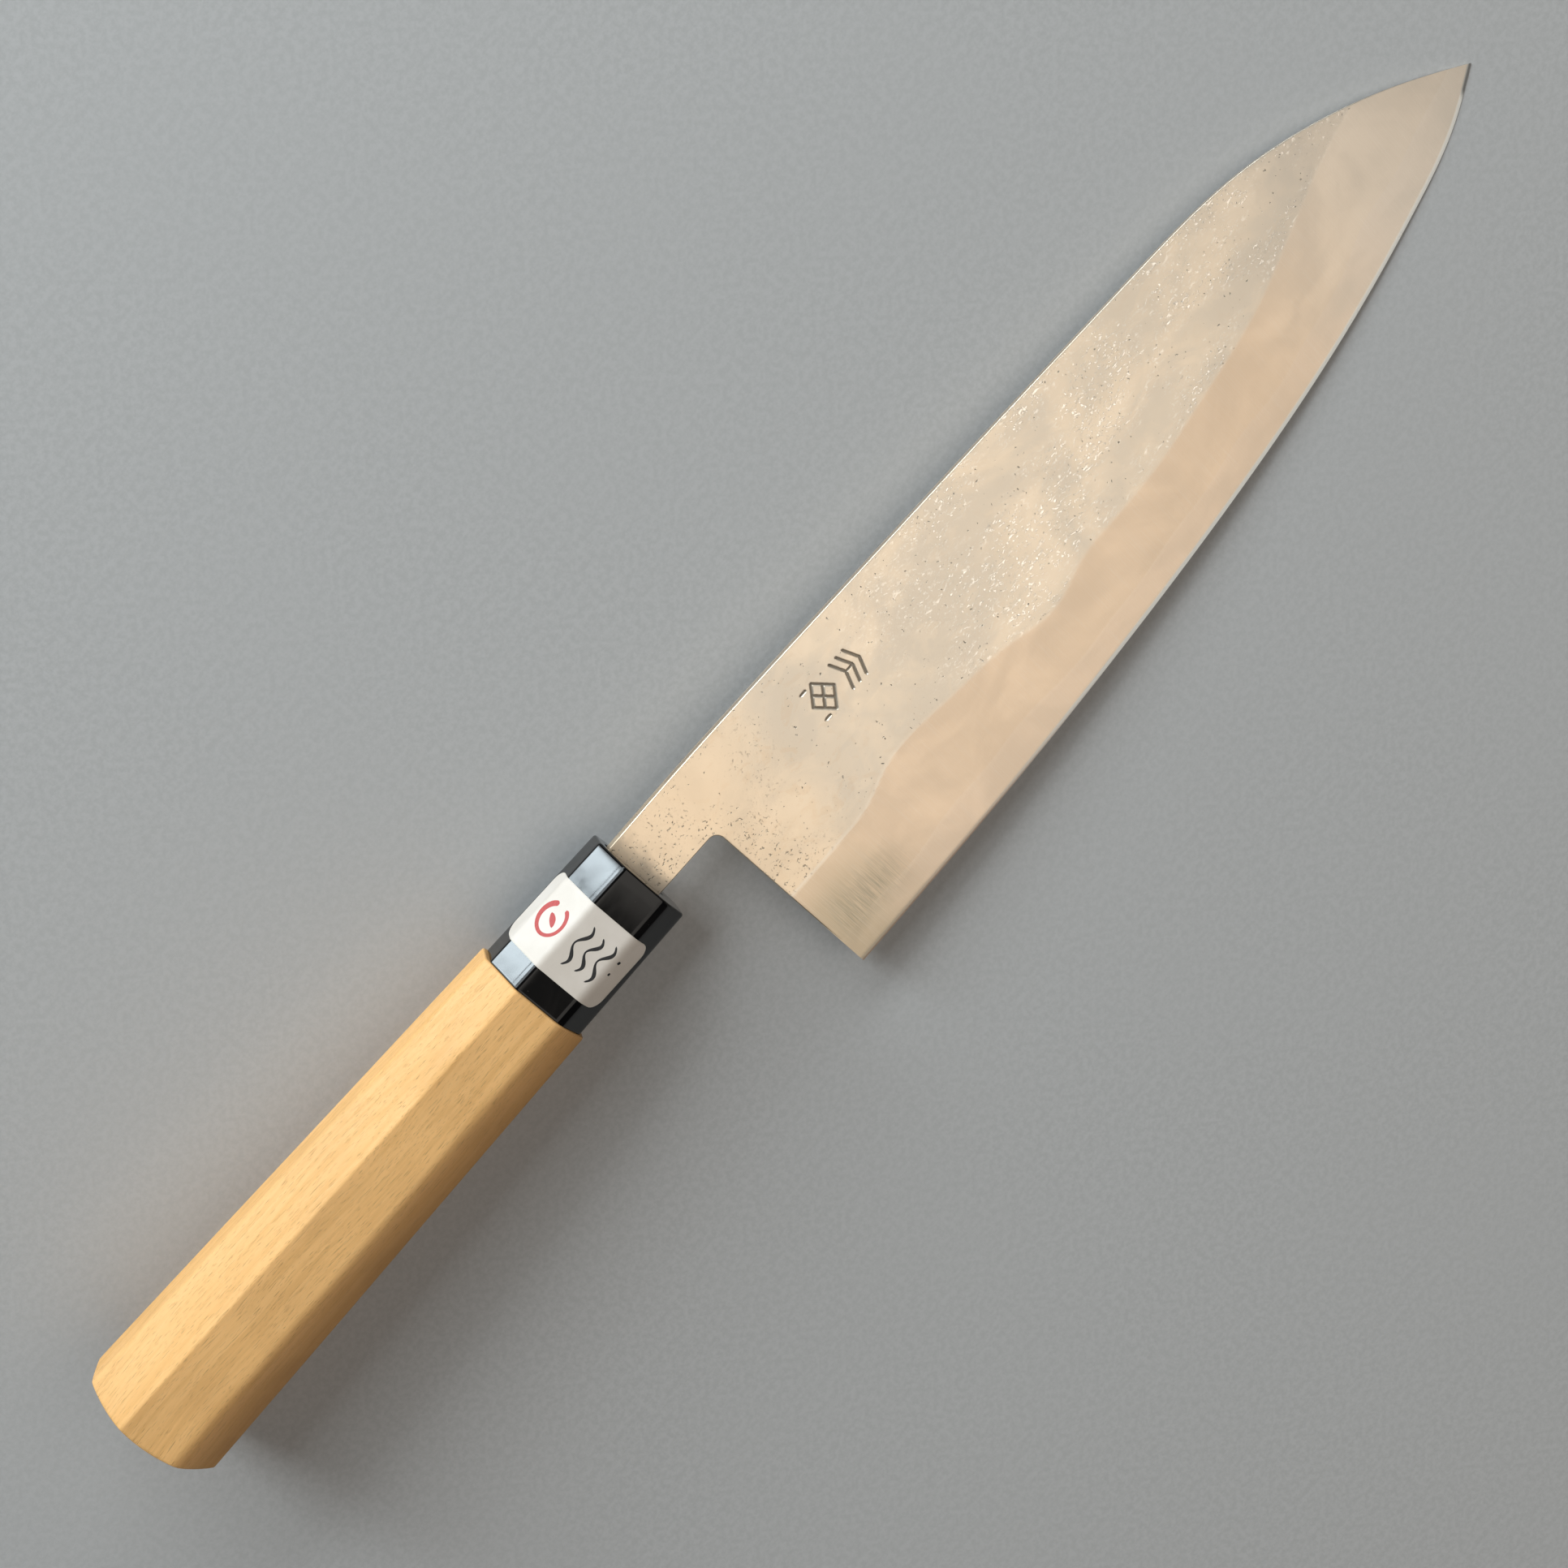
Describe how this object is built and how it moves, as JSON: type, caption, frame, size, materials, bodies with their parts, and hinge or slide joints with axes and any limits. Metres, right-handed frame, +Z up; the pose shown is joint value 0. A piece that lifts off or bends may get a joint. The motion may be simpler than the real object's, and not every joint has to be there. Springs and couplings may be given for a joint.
{
  "type": "chef knife",
  "caption": "Japanese-style chef knife with a laminated hand-forged blade, a black octagonal ferrule with a paper label and an octagonal wooden handle.",
  "frame": {"origin": "middle of the footprint, on the surface that the knife lies on", "axes": "+X towards the tip along the handle, +Y towards the spine, +Z up, out of the blade's right side, with the knife lying on its left side as it comes to rest"},
  "size_m": [0.3646, 0.0594, 0.0288],
  "materials": {
    "core_steel": "hard core steel, ground and honed at the cutting edge",
    "soft_iron": "soft iron cladding, forge-pitted flats and finely scratched wide bevels",
    "light_wood": "light straight-grained wood, sanded and unvarnished",
    "black_ferrule": "polished black",
    "resin": "dark hard resin",
    "adhesive": "cured amber adhesive",
    "label_paper": null
  },
  "bodies": {
    "root": {"blade_core": "core_steel", "cladding_right": "soft_iron", "cladding_left": "soft_iron", "handle": "light_wood", "ferrule": "black_ferrule", "tang_seal": "resin", "tang_bedding": "adhesive", "label": "label_paper"}
  },
  "joints": []
}
